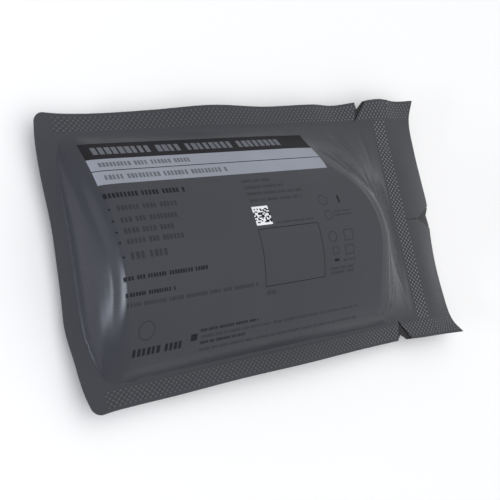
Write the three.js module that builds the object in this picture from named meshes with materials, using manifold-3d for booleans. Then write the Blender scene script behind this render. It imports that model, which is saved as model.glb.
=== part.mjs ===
// Emergency bandage in a vacuum-packed pouch, lying on its back.
// Millimetres, +X along the pouch towards the header flap, +Y across it, +Z up.
// The origin is on the resting plane, under the middle of the pouch.

import * as THREE from 'three';
import { mergeVertices } from 'three/addons/utils/BufferGeometryUtils.js';
import Module from 'manifold-3d';

const wasm = await Module();
wasm.setup();

// Driving dimensions of the pouch
const pouchLength = 193;
const pouchWidth = 114;
const frontRise = 22.2;
const backRise = 7.8;
const filmWall = 1;
const seamGap = 0.3;

// Seals and flap, measured in from the cut edges
const sideSeal = 10;
const closedFlange = 3.2;
const headerFlap = 22;
const endSeal = 7.1;

// How far the film takes to climb or fall
const closedWallRun = 16;
const backFootRun = 13;
const closedCornerSweep = 4.5;
const cornerSweepPower = 6;
const cutCornerRadius = 3.5;

// How much the cut edges wander in the plane and out of it
const edgeBow = 5;
const edgeLift = 4;
const bowReach = 14;

// Folds that run round the flap end of the crown, and down the closed wall.
// They reach their full depth where the crown stands this high.
const foldDepth = 0.9;
const wallFoldDepth = 0.8;
const foldFullHeight = 5.5;
const foldFadePower = 4;

// Tear notches, each a leaning V: a deep one in the front film over a shallower one in the back film.
// mouth and apex are places along the cut edge: on the long edges the distance from the flap's edge,
// and on the flap's edge the offset from the middle line.
const frontNotches = {
  upper: { mouth: 34.5, apex: 39.7, depth: 8.9, width: 6.1 },
  lower: { mouth: 38.3, apex: 40.5, depth: 10.2, width: 8.1 },
  flap: { mouth: 0, apex: 0, depth: 8, width: 11.5 },
};
const backNotches = {
  upper: { mouth: 35, apex: 37, depth: 3.3, width: 4.8 },
  lower: { mouth: 39.6, apex: 40.1, depth: 2.7, width: 5.3 },
  flap: { mouth: 0, apex: 0, depth: 2.2, width: 9 },
};

// The folded bandage inside
const bandageGap = 0.7;
const bandageInset = 3.6;
const bandageReach = 0.72;

// Mesh fineness: how many cells each stretch of the film has, along the pouch and then across half of it
const cells = {
  flange: 2,
  wall: 9,
  crown: 8,
  fall: 10,
  endSeal: 2,
  flap: 4,
  middle: 5,
  side: 5,
  seal: 2,
  corner: 3,
};
const leastCell = 0.5;
const slopeStep = 0.1;

// Share of the crown's half width at which its side turns steep
const steepSide = 0.6;

// Height of the front film across the pouch: offset as a share of the crown's half width,
// height as a share of the crown's rise
const crossArch = [
  { across: -1, height: 0 },
  { across: -0.968, height: 0.072 },
  { across: -0.894, height: 0.252 },
  { across: -0.766, height: 0.495 },
  { across: -0.596, height: 0.73 },
  { across: -0.426, height: 0.9 },
  { across: -0.213, height: 1 },
  { across: 0, height: 0.995 },
  { across: 0.213, height: 0.914 },
  { across: 0.426, height: 0.775 },
  { across: 0.596, height: 0.604 },
  { across: 0.766, height: 0.378 },
  { across: 0.894, height: 0.176 },
  { across: 0.968, height: 0.05 },
  { across: 1, height: 0 },
];

// The closed end's wall: run as a share of closedWallRun, height as a share of the arch there
const closedWall = [
  { run: 0, height: 0 },
  { run: 0.05, height: 0.045 },
  { run: 0.125, height: 0.234 },
  { run: 0.22, height: 0.495 },
  { run: 0.31, height: 0.676 },
  { run: 0.41, height: 0.802 },
  { run: 0.53, height: 0.91 },
  { run: 0.69, height: 0.968 },
  { run: 1, height: 1 },
];

// Where the crown starts to fall towards the end seal: offset across as above,
// place along the pouch as a share of the crown's half length from its middle
const shoulderLine = [
  { across: -1, along: 0.68 },
  { across: -0.87, along: 0.66 },
  { across: -0.66, along: 0.62 },
  { across: -0.45, along: 0.61 },
  { across: -0.15, along: 0.625 },
  { across: 0.15, along: 0.605 },
  { across: 0.37, along: 0.53 },
  { across: 0.62, along: 0.38 },
  { across: 0.745, along: 0.26 },
  { across: 0.87, along: 0.09 },
  { across: 1, along: -0.15 },
];

// The fall itself: run as a share of the way from the shoulder to the end seal
const crownFall = [
  { run: 0, height: 1 },
  { run: 0.15, height: 0.94 },
  { run: 0.35, height: 0.73 },
  { run: 0.6, height: 0.4 },
  { run: 0.85, height: 0.12 },
  { run: 1, height: 0 },
];

// Draped folds on that fall: place and breadth as shares of its run, depth as a share of foldDepth
const endFolds = [
  { run: 0.28, breadth: 0.12, depth: 0.8 },
  { run: 0.66, breadth: 0.12, depth: 1 },
];

// Upright folds in the closed wall: place and breadth as shares of closedWallRun
const wallFolds = [
  { run: 0.28, breadth: 0.12, depth: 1 },
  { run: 0.66, breadth: 0.14, depth: 0.6 },
];

// Profiles of the back film: share of backFootRun in from the foot, share of backRise
const backFoot = [
  { run: 0, height: 0 },
  { run: 0.25, height: 0.3 },
  { run: 0.6, height: 0.85 },
  { run: 1, height: 1 },
];

// Cut edges: bow is outward as a share of edgeBow, lift is upward as a share of edgeLift.
// across and along run from -1 to 1 over the pouch's width or length.
const closedEdge = [
  { across: -1, bow: 0.06, lift: 0 },
  { across: -0.84, bow: 0.4, lift: -0.25 },
  { across: -0.63, bow: 0.6, lift: -0.5 },
  { across: -0.42, bow: 0.78, lift: -0.75 },
  { across: -0.2, bow: 0.6, lift: -0.75 },
  { across: 0, bow: 0.48, lift: -0.7 },
  { across: 0.25, bow: 0.38, lift: -0.62 },
  { across: 0.6, bow: 0.5, lift: -0.55 },
  { across: 0.85, bow: 0.48, lift: -0.3 },
  { across: 1, bow: 0.36, lift: 0 },
];
const flapEdge = [
  { across: -1, bow: -0.4, lift: 0 },
  { across: -0.9, bow: -1, lift: -0.375 },
  { across: -0.75, bow: -0.92, lift: -0.75 },
  { across: -0.45, bow: -0.88, lift: -1 },
  { across: -0.2, bow: -0.68, lift: -1 },
  { across: 0.1, bow: -0.18, lift: -0.95 },
  { across: 0.3, bow: -0.28, lift: -0.85 },
  { across: 0.55, bow: -0.48, lift: -0.65 },
  { across: 0.85, bow: -0.58, lift: -0.25 },
  { across: 1, bow: 0.06, lift: 0 },
];
const upperEdge = [
  { along: -1, bow: -0.08, lift: 0.15 },
  { along: -0.9, bow: -0.2, lift: -0.25 },
  { along: -0.74, bow: -0.2, lift: -0.4 },
  { along: -0.5, bow: -0.08, lift: -0.15 },
  { along: -0.22, bow: 0.1, lift: 0.35 },
  { along: 0.07, bow: -0.06, lift: 0 },
  { along: 0.35, bow: 0.02, lift: 0.1 },
  { along: 0.48, bow: -0.06, lift: -0.2 },
  { along: 0.62, bow: 0.12, lift: 0.25 },
  { along: 0.76, bow: 0.3, lift: 0.6 },
  { along: 0.88, bow: 0.1, lift: 0.25 },
  { along: 1, bow: 0.14, lift: 0.3 },
];
const lowerEdge = [
  { along: -1, bow: -0.12, lift: 0.15 },
  { along: -0.9, bow: -0.24, lift: -0.15 },
  { along: -0.64, bow: -0.26, lift: -0.25 },
  { along: -0.35, bow: -0.36, lift: 0.12 },
  { along: 0, bow: -0.32, lift: 0.25 },
  { along: 0.3, bow: -0.36, lift: -0.1 },
  { along: 0.47, bow: -0.34, lift: -0.3 },
  { along: 0.6, bow: -0.3, lift: -0.15 },
  { along: 0.72, bow: -0.12, lift: 0.1 },
  { along: 0.9, bow: 0.08, lift: 0.2 },
  { along: 1, bow: 0.22, lift: 0.38 },
];

// Places worked out from the sizes above
const halfLength = pouchLength / 2;
const halfWidth = pouchWidth / 2;
const crownHalfWidth = halfWidth - sideSeal;
const crownStart = closedFlange - halfLength;
const flapStart = halfLength - headerFlap;
const crownEnd = flapStart - endSeal;
const crownHalfLength = (crownEnd - crownStart) / 2;
const crownMiddle = (crownEnd + crownStart) / 2;
const filmSeat = filmWall + seamGap / 2;

const clamp = THREE.MathUtils.clamp;
const ease = THREE.MathUtils.smoothstep;

// Smooth curve through a table's rows, with tangents along each row's neighbours
function follow(rows, place, key, at) {
  const last = rows.length - 1;
  const x = clamp(at, rows[0][place], rows[last][place]);
  let i = 0;
  while (i < last - 1 && x > rows[i + 1][place]) i += 1;
  const slope = (j) => {
    const before = rows[Math.max(j - 1, 0)];
    const after = rows[Math.min(j + 1, last)];
    return (after[key] - before[key]) / (after[place] - before[place]);
  };
  const span = rows[i + 1][place] - rows[i][place];
  const t = (x - rows[i][place]) / span;
  const start = rows[i][key] * (1 + 2 * t) * (1 - t) ** 2 + slope(i) * span * t * (1 - t) ** 2;
  const end = rows[i + 1][key] * t ** 2 * (3 - 2 * t) - slope(i + 1) * span * t ** 2 * (1 - t);
  return start + end;
}

// A row of soft ridges and hollows, each a bell of its own breadth
function ripples(rows, at) {
  const bell = (row) => row.depth * Math.exp(-(((at - row.run) / row.breadth) ** 2));
  return rows.reduce((sum, row) => sum + bell(row), 0);
}

// The corner of the closed end is cut to a quarter circle: how far it steps in at this offset
function cornerInset(y) {
  const past = clamp(Math.abs(y) - (halfWidth - cutCornerRadius), 0, cutCornerRadius);
  return cutCornerRadius - Math.sqrt(cutCornerRadius ** 2 - past ** 2);
}

// Middle surface between the two films: the flat pouch with its edges bowed and lifted
function middle(x, y) {
  const along = x / halfLength;
  const across = y / halfWidth;
  const closed = 1 - ease(x, -halfLength, -halfLength + bowReach);
  const flange = 1 - ease(x, -halfLength, crownStart + closedFlange);
  const flap = ease(x, flapStart, halfLength);
  const upper = ease(y, halfWidth - bowReach, halfWidth);
  const lower = ease(-y, halfWidth - bowReach, halfWidth);
  const bowX = flap * follow(flapEdge, 'across', 'bow', across)
    - closed * follow(closedEdge, 'across', 'bow', across);
  const bowY = upper * follow(upperEdge, 'along', 'bow', along)
    - lower * follow(lowerEdge, 'along', 'bow', along);
  const lift = flap * follow(flapEdge, 'across', 'lift', across)
    + flange * follow(closedEdge, 'across', 'lift', across)
    + upper * follow(upperEdge, 'along', 'lift', along)
    + lower * follow(lowerEdge, 'along', 'lift', along);
  const corner = cornerInset(y) * closed;
  return new THREE.Vector3(x + bowX * edgeBow + corner, y + bowY * edgeBow, lift * edgeLift);
}

// The foot of the closed wall sweeps in towards the corners
function closedFoot(y) {
  const share = clamp(Math.abs(y) / crownHalfWidth, 0, 1);
  return crownStart + closedCornerSweep * share ** cornerSweepPower;
}

// Where the crown leaves its full height on the way to the end seal
function shoulder(y) {
  return crownMiddle + crownHalfLength * follow(shoulderLine, 'across', 'along', y / crownHalfWidth);
}

function fallShare(x, y) {
  return clamp((x - shoulder(y)) / (crownEnd - shoulder(y)), 0, 1);
}

// How far the front film's outer face stands above the middle surface, without its folds
function crownHeight(x, y) {
  const arch = follow(crossArch, 'across', 'height', y / crownHalfWidth);
  const wall = follow(closedWall, 'run', 'height', (x - closedFoot(y)) / closedWallRun);
  const fall = follow(crownFall, 'run', 'height', fallShare(x, y));
  return filmSeat + (frontRise - filmSeat) * arch * wall * fall;
}

// The folds stand out from the crown and die away at its foot and towards the long seals
function foldHeight(x, y) {
  const across = clamp(y / crownHalfWidth, -1, 1);
  const wallRun = (x - closedFoot(y)) / closedWallRun;
  const folds = foldDepth * ripples(endFolds, fallShare(x, y)) + wallFoldDepth * ripples(wallFolds, wallRun);
  return folds * ease(crownHeight(x, y), filmSeat, foldFullHeight) * (1 - across ** foldFadePower);
}

// How far the back film's outer face hangs below the middle surface
function backDepth(x, y) {
  const inFromSide = clamp((crownHalfWidth - Math.abs(y)) / backFootRun, 0, 1);
  const inFromClosed = clamp((x - closedFoot(y)) / backFootRun, 0, 1);
  const inFromFlap = clamp((crownEnd - x) / backFootRun, 0, 1);
  const share = [inFromSide, inFromClosed, inFromFlap]
    .reduce((product, run) => product * follow(backFoot, 'run', 'height', run), 1);
  return filmSeat + (backRise - filmSeat) * share;
}

const raised = (x, y, height) => middle(x, y).add(new THREE.Vector3(0, 0, height));
const crownFace = (x, y) => raised(x, y, crownHeight(x, y));
const frontFace = (x, y) => raised(x, y, crownHeight(x, y) + foldHeight(x, y));
const backFace = (x, y) => raised(x, y, -backDepth(x, y));

// A face moved along its own normal by a distance, measured from a small step each way
function offsetFace(face, distance) {
  return (x, y) => {
    const x0 = Math.max(x - slopeStep, -halfLength);
    const x1 = Math.min(x + slopeStep, halfLength);
    const y0 = Math.max(y - slopeStep, -halfWidth);
    const y1 = Math.min(y + slopeStep, halfWidth);
    const alongX = face(x1, y).sub(face(x0, y));
    const alongY = face(x, y1).sub(face(x, y0));
    return face(x, y).addScaledVector(alongX.cross(alongY).normalize(), distance);
  };
}

// Evenly spaced values from one place to the next, leaving out the last
function run(from, to, count) {
  return Array.from({ length: count }, (_, i) => from + ((to - from) * i) / count);
}

// Grid lines that are close together where the film bends most
function gridAlong(start, end) {
  const wallTop = crownStart + closedWallRun;
  const fallStart = shoulder(0);
  const lines = [
    ...run(-halfLength, crownStart, cells.flange),
    ...run(crownStart, wallTop, cells.wall),
    ...run(wallTop, fallStart, cells.crown),
    ...run(fallStart, crownEnd, cells.fall),
    ...run(crownEnd, flapStart, cells.endSeal),
    ...run(flapStart, halfLength, cells.flap),
  ];
  return [start, ...lines.filter((x) => x > start + leastCell && x < end - leastCell), end];
}

function gridAcross(limit) {
  const sideStart = crownHalfWidth * steepSide;
  const cornerStart = halfWidth - cutCornerRadius;
  const lines = [
    ...run(0, sideStart, cells.middle),
    ...run(sideStart, crownHalfWidth, cells.side),
    ...run(crownHalfWidth, cornerStart, cells.seal),
    ...run(cornerStart, halfWidth, cells.corner),
  ];
  const half = [...lines.filter((y) => y < limit - leastCell), limit];
  return [...half.slice(1).reverse().map((y) => -y), ...half];
}

// Closed solid between an upper and a lower face over one grid, joined round the rim
function solidBetween(upperFace, lowerFace, gridX, gridY) {
  const columns = gridX.length;
  const rows = gridY.length;
  const points = [];
  for (const face of [upperFace, lowerFace]) {
    for (const y of gridY) {
      for (const x of gridX) points.push(face(x, y));
    }
  }
  const at = (layer, i, j) => layer * columns * rows + j * columns + i;
  const faces = [];
  const quad = (a, b, c, d) => faces.push(a, b, c, a, c, d);
  for (let j = 0; j < rows - 1; j += 1) {
    for (let i = 0; i < columns - 1; i += 1) {
      quad(at(0, i, j), at(0, i + 1, j), at(0, i + 1, j + 1), at(0, i, j + 1));
      quad(at(1, i, j), at(1, i, j + 1), at(1, i + 1, j + 1), at(1, i + 1, j));
    }
  }
  for (let i = 0; i < columns - 1; i += 1) {
    quad(at(1, i, 0), at(1, i + 1, 0), at(0, i + 1, 0), at(0, i, 0));
    quad(at(0, i, rows - 1), at(0, i + 1, rows - 1), at(1, i + 1, rows - 1), at(1, i, rows - 1));
  }
  for (let j = 0; j < rows - 1; j += 1) {
    quad(at(0, 0, j), at(0, 0, j + 1), at(1, 0, j + 1), at(1, 0, j));
    quad(at(1, columns - 1, j), at(1, columns - 1, j + 1), at(0, columns - 1, j + 1), at(0, columns - 1, j));
  }
  const geometry = new THREE.BufferGeometry().setFromPoints(points);
  geometry.setIndex(faces);
  return geometry;
}

function toManifold(geometry) {
  const bare = geometry.clone();
  bare.deleteAttribute('normal');
  bare.deleteAttribute('uv');
  const merged = mergeVertices(bare);
  const vertProperties = new Float32Array(merged.attributes.position.array);
  const triVerts = new Uint32Array(merged.index.array);
  return new wasm.Manifold(new wasm.Mesh({ numProp: 3, vertProperties, triVerts }));
}

function toGeometry(manifold) {
  const mesh = manifold.getMesh();
  const geometry = new THREE.BufferGeometry();
  geometry.setAttribute('position', new THREE.BufferAttribute(new Float32Array(mesh.vertProperties), 3));
  geometry.setIndex(new THREE.BufferAttribute(new Uint32Array(mesh.triVerts), 1));
  return geometry.toNonIndexed();
}

// Upright prism over a V that opens past the cut edge: its mouth is this wide at the edge,
// and both of its sides are carried on outwards for as far again as the V is deep
function notchCutter(mouth, apex, along, width) {
  const side = along.clone().multiplyScalar(width / 2);
  const overrun = mouth.clone().multiplyScalar(2).sub(apex);
  const flare = side.clone().multiplyScalar(2);
  const outline = [apex, overrun.clone().add(flare), overrun.clone().sub(flare)];
  if (THREE.ShapeUtils.area(outline) < 0) outline.reverse();
  const height = 2 * (frontRise + backRise);
  const upright = { depth: height, bevelEnabled: false };
  const geometry = new THREE.ExtrudeGeometry(new THREE.Shape(outline), upright);
  geometry.translate(0, 0, -height / 2);
  return toManifold(geometry);
}

// A film with its tear notches cut out: one in each long edge and one in the flap's edge
function cutFilm(geometry, notches) {
  const { upper, lower, flap } = notches;
  const alongX = new THREE.Vector2(1, 0);
  const alongY = new THREE.Vector2(0, 1);
  const places = [
    { x: halfLength - upper.mouth, y: halfWidth, lean: upper.mouth - upper.apex, inward: -1, notch: upper },
    { x: halfLength - lower.mouth, y: -halfWidth, lean: lower.mouth - lower.apex, inward: 1, notch: lower },
  ];
  const sideCutters = places.map(({ x, y, lean, inward, notch }) => {
    const edge = middle(x, y);
    const mouth = new THREE.Vector2(edge.x, edge.y);
    const apex = new THREE.Vector2(edge.x + lean, edge.y + inward * notch.depth);
    return notchCutter(mouth, apex, alongX, notch.width);
  });
  const tip = middle(halfLength, flap.mouth);
  const flapMouth = new THREE.Vector2(tip.x, tip.y);
  const flapApex = new THREE.Vector2(tip.x - flap.depth, tip.y + flap.apex - flap.mouth);
  const cutters = [...sideCutters, notchCutter(flapMouth, flapApex, alongY, flap.width)];
  return toGeometry(cutters.reduce((solid, cutter) => solid.subtract(cutter), toManifold(geometry)));
}

function frontFilmGeometry() {
  const lower = offsetFace(frontFace, -filmWall);
  const whole = solidBetween(frontFace, lower, gridAlong(-halfLength, halfLength), gridAcross(halfWidth));
  return cutFilm(whole, frontNotches);
}

function backFilmGeometry() {
  const upper = offsetFace(backFace, filmWall);
  const whole = solidBetween(upper, backFace, gridAlong(-halfLength, halfLength), gridAcross(halfWidth));
  return cutFilm(whole, backNotches);
}

// The folded bandage fills the space between the films, short of where they meet
function bandageGeometry() {
  const gridX = gridAlong(crownStart + bandageInset, crownEnd - bandageInset);
  const gridY = gridAcross(crownHalfWidth - bandageInset);
  const first = gridX[0];
  const last = gridX[gridX.length - 1];
  const bandageX = (x, y) => {
    const start = closedFoot(y) + bandageInset;
    const end = shoulder(y) + bandageReach * (crownEnd - shoulder(y));
    return start + ((x - first) / (last - first)) * (end - start);
  };
  const fitted = (face) => (x, y) => face(bandageX(x, y), y);
  const upper = offsetFace(crownFace, -filmWall - bandageGap);
  const lower = offsetFace(backFace, filmWall + bandageGap);
  return solidBetween(fitted(upper), fitted(lower), gridX, gridY);
}

function filmMaterial(colour) {
  return new THREE.MeshStandardMaterial({ color: colour, roughness: 0.42, metalness: 0 });
}

function piece(name, geometry, material) {
  const mesh = new THREE.Mesh(geometry, material);
  mesh.name = name;
  mesh.geometry.computeVertexNormals();
  return mesh;
}

const pouch = new THREE.Group();
pouch.add(piece('front_film', frontFilmGeometry(), filmMaterial(0x4d4e54)));
pouch.add(piece('back_film', backFilmGeometry(), filmMaterial(0x46474c)));
pouch.add(piece('folded_bandage', bandageGeometry(), new THREE.MeshStandardMaterial({
  color: 0xb9b39c,
  roughness: 0.95,
  metalness: 0,
})));

const outline = new THREE.Box3().setFromObject(pouch);
const centre = outline.getCenter(new THREE.Vector3());
pouch.position.set(-centre.x, -centre.y, -outline.min.z);

export default pouch;
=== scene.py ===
"""An emergency bandage in its vacuum-packed pouch, lying on its back in a plain studio.

The pouch is worked out in millimetres about the plane of its seals, with +X towards the header
flap, +Y across it and +Z up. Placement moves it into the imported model's frame, in metres.
"""

import logging
import math
from collections.abc import Callable
from dataclasses import dataclass
from enum import Enum
from typing import ClassVar

import bpy
import numpy as np
from mathutils import Matrix, Vector
from mathutils.geometry import delaunay_2d_cdt

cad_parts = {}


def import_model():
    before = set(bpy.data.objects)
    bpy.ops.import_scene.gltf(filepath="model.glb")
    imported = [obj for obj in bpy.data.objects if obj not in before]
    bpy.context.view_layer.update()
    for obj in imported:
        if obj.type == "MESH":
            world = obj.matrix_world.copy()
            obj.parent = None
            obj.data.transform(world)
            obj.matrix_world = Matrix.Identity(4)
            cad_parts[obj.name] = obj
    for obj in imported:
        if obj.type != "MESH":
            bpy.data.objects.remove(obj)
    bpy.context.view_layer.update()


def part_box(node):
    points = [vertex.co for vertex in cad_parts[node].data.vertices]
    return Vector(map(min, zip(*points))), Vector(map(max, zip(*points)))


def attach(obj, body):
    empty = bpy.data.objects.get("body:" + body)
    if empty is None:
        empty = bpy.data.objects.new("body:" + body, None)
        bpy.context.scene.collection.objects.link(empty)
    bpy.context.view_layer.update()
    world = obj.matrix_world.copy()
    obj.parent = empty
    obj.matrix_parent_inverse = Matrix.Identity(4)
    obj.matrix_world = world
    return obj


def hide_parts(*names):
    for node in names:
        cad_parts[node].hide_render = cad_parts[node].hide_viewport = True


Array = np.ndarray
Pair = tuple[float, float]
Triple = tuple[float, float, float]
Rows = tuple[tuple[float, ...], ...]
Surface = Callable[[Array, Array], Array]
Socket = bpy.types.NodeSocket

LOG = logging.getLogger("bandage")
# The seals' dots' attribute, which carries painted glints on their tips and painted shade between them.
DOT_GLINT_ATTRIBUTE = "dots"
# Where most of a noise's values lie.
NOISE_SPAN = (0.3, 0.7)
# Asks delaunay_2d_cdt for the triangles inside the outlines alone.
TRIANGLES_INSIDE = 1
# Millimetres in a metre.
MM = 1000


def eased(value: Array, start: float, end: float) -> Array:
    """Rises smoothly from 0 at start to 1 at end.

    Args:
        value: Where to read the rise.
        start: Where it leaves 0.
        end: Where it reaches 1.

    Returns:
        3t² - 2t³, with t the share of the way, held between 0 and 1.
    """
    t = np.clip((value - start) / (end - start), 0.0, 1.0)
    return t * t * (3.0 - 2.0 * t)


def bell(t: Array) -> Array:
    """A soft bump, exp(-t²)."""
    return np.exp(-np.square(t))


@dataclass(frozen=True)
class Curve:
    """A smooth line through rows of place and value."""

    rows: Rows

    def at(self, place: Array) -> Array:
        """Reads the line.

        Between two rows it is the cubic through both, and each row's slope is that of the
        straight line between its two neighbours.

        Args:
            place: Where to read, held between the first and the last row.

        Returns:
            The line's value at each place.
        """
        knots, values = np.array(self.rows, float).T
        last = len(knots) - 1
        before = np.maximum(np.arange(last + 1) - 1, 0)
        after = np.minimum(np.arange(last + 1) + 1, last)
        slopes = (values[after] - values[before]) / (knots[after] - knots[before])
        x = np.clip(place, knots[0], knots[-1])
        i = np.clip(np.searchsorted(knots, x, side="right") - 1, 0, last - 1)
        span = knots[i + 1] - knots[i]
        t = (x - knots[i]) / span
        start = values[i] * (1 + 2 * t) * (1 - t) ** 2 + slopes[i] * span * t * (1 - t) ** 2
        end = values[i + 1] * t**2 * (3 - 2 * t) - slopes[i + 1] * span * t**2 * (1 - t)
        return start + end


@dataclass(frozen=True)
class Edge:
    """How one cut edge of the pouch wanders.

    rows hold a place from -1 to 1 along the edge, how far it bows outwards there as a share of
    the most it may, and how far it lifts, likewise.
    """

    rows: Rows

    def bow(self, place: Array) -> Array:
        """The edge's outward bow at each place."""
        return Curve(tuple((row[0], row[1]) for row in self.rows)).at(place)

    def lift(self, place: Array) -> Array:
        """The edge's lift at each place."""
        return Curve(tuple((row[0], row[2]) for row in self.rows)).at(place)


class Profile(Enum):
    """A fold's section: rounded, or drawn to a crease."""

    ROUND = "round"
    CREASED = "creased"


@dataclass(frozen=True)
class Fold:
    """A draped fold of the film: a ridge, or a hollow where its height is negative.

    rows hold the fold's line: x, y, the height there and the breadth there, in millimetres. The
    fold is worked out only in the box round that line, reach breadths wider on each side.
    """

    rows: Rows
    profile: Profile = Profile.ROUND
    tip_radius: float = 0.12
    samples: int = 60
    reach: float = 5.0

    def _section(self, away: Array) -> Array:
        """The share of the height at a distance from the line.

        Rounded it is bell(away), and creased exp(-away), with the tip turned over a small radius.

        Args:
            away: The distance, in breadths.

        Returns:
            1 on the line, and less beside it.
        """
        if self.profile is Profile.ROUND:
            return bell(away)
        return np.exp(self.tip_radius - np.hypot(away, self.tip_radius))

    def relief(self, x: Array, y: Array) -> Array:
        """How far the fold stands above the film.

        It is the height at the nearest point of the line times the section at distance over
        breadth, with both read from the smooth curve through the rows.

        Args:
            x: Places along the pouch.
            y: Places across it.

        Returns:
            The height at each place, in millimetres.
        """
        table = np.array(self.rows, float)
        share = np.linspace(0.0, 1.0, len(table))
        fine = np.linspace(0.0, 1.0, self.samples)
        read = [Curve(tuple(zip(share, column))).at(fine) for column in table.T]
        way = np.stack(read[:2], axis=1)
        reach = self.reach * read[3].max()
        low, high = way.min(axis=0) - reach, way.max(axis=0) + reach
        near = (x > low[0]) & (x < high[0]) & (y > low[1]) & (y < high[1])
        out = np.zeros_like(x)
        if not near.any():
            return out
        spot = np.stack([x[near], y[near]], axis=1)
        start, step = way[:-1], np.diff(way, axis=0)
        away = spot[:, None, :] - start[None]
        t = np.clip((away * step).sum(2) / (step**2).sum(1), 0.0, 1.0)
        gap = np.linalg.norm(away - t[..., None] * step, axis=2)
        nearest = np.argmin(gap, axis=1)
        pick = np.arange(len(spot)), nearest
        along = (nearest + t[pick]) / (self.samples - 1)
        height, breadth = (np.interp(along, fine, column) for column in read[2:])
        out[near] = height * self._section(gap[pick] / breadth)
        return out


@dataclass(frozen=True)
class Knurl:
    """The dots that the sealing bars press into the film, in staggered rows."""

    dot_pitch: float = 2.1
    row_pitch: float = 1.15
    height: float = 0.22
    sharpness: float = 1.8
    edge: float = 0.5
    long_band: Pair = (48.6, 55.4)
    long_reach: Pair = (-94.0, 95.0)
    long_fade: float = 5.0
    end_band: Pair = (68.2, 75.2)
    end_reach: float = 48.0
    mean: float = 0.32
    # How strong the painted glints and shade on the long seals are, on their left part and from right_start
    # on.
    left_share: float = 0.5
    right_share: float = 0.78
    right_start: float = 10.0

    def _window(self, value: Array, low: float, high: float) -> Array:
        """Gives 1 between low and high, with a soft edge outside them."""
        return eased(value, low - self.edge, low) * (1.0 - eased(value, high, high + self.edge))

    def _dots(self, along: Array, across: Array) -> Array:
        """Gives ((1 + cos(2π along / dot pitch) cos(π across / row pitch)) / 2) ** sharpness."""
        wave = np.cos(2 * math.pi * along / self.dot_pitch) * np.cos(math.pi * across / self.row_pitch)
        return ((1.0 + wave) / 2.0) ** self.sharpness

    def _bands(self, x: Array, y: Array) -> tuple[Array, Array]:
        """The windows of the two long seals and of the end seal.

        Args:
            x: Places along the pouch.
            y: Places across it.

        Returns:
            1 on each band and 0 off it, with soft edges.
        """
        reach = eased(x, self.long_reach[0], self.long_reach[0] + self.long_fade)
        reach = reach * (1.0 - eased(x, self.long_reach[1] - self.edge, self.long_reach[1]))
        ends = self._window(x, *self.end_band) * self._window(y, -self.end_reach, self.end_reach)
        return self._window(np.abs(y), *self.long_band) * reach, ends

    def relief(self, x: Array, y: Array) -> Array:
        """How far the dots stand up, as a share of their height.

        Args:
            x: Places along the pouch.
            y: Places across it.

        Returns:
            The dots of the two long seals or of the end seal, whichever stand higher.
        """
        long_seals, end_seal = self._bands(x, y)
        return np.maximum(long_seals * self._dots(x, y), end_seal * self._dots(y, x))

    def dot_glint_shade(self, x: Array, y: Array) -> Array:
        """How far the dots' tips take a painted glint, and how far the film between them takes painted
        shade.

        Args:
            x: Places along the pouch.
            y: Places across it.

        Returns:
            The dots less their mean on each band. This is more than 0 on the tips, where it paints a glint,
            and less between them, where it paints shade. The painted glint is fainter on the long seals'
            left part.
        """
        long_seals, end_seal = self._bands(x, y)
        gain = self.right_share - self.left_share
        strength = self.left_share + gain * eased(x, self.right_start, self.end_band[0])
        return np.where(
            end_seal > long_seals,
            end_seal * (self._dots(y, x) - self.mean),
            long_seals * strength * (self._dots(x, y) - self.mean),
        )


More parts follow.
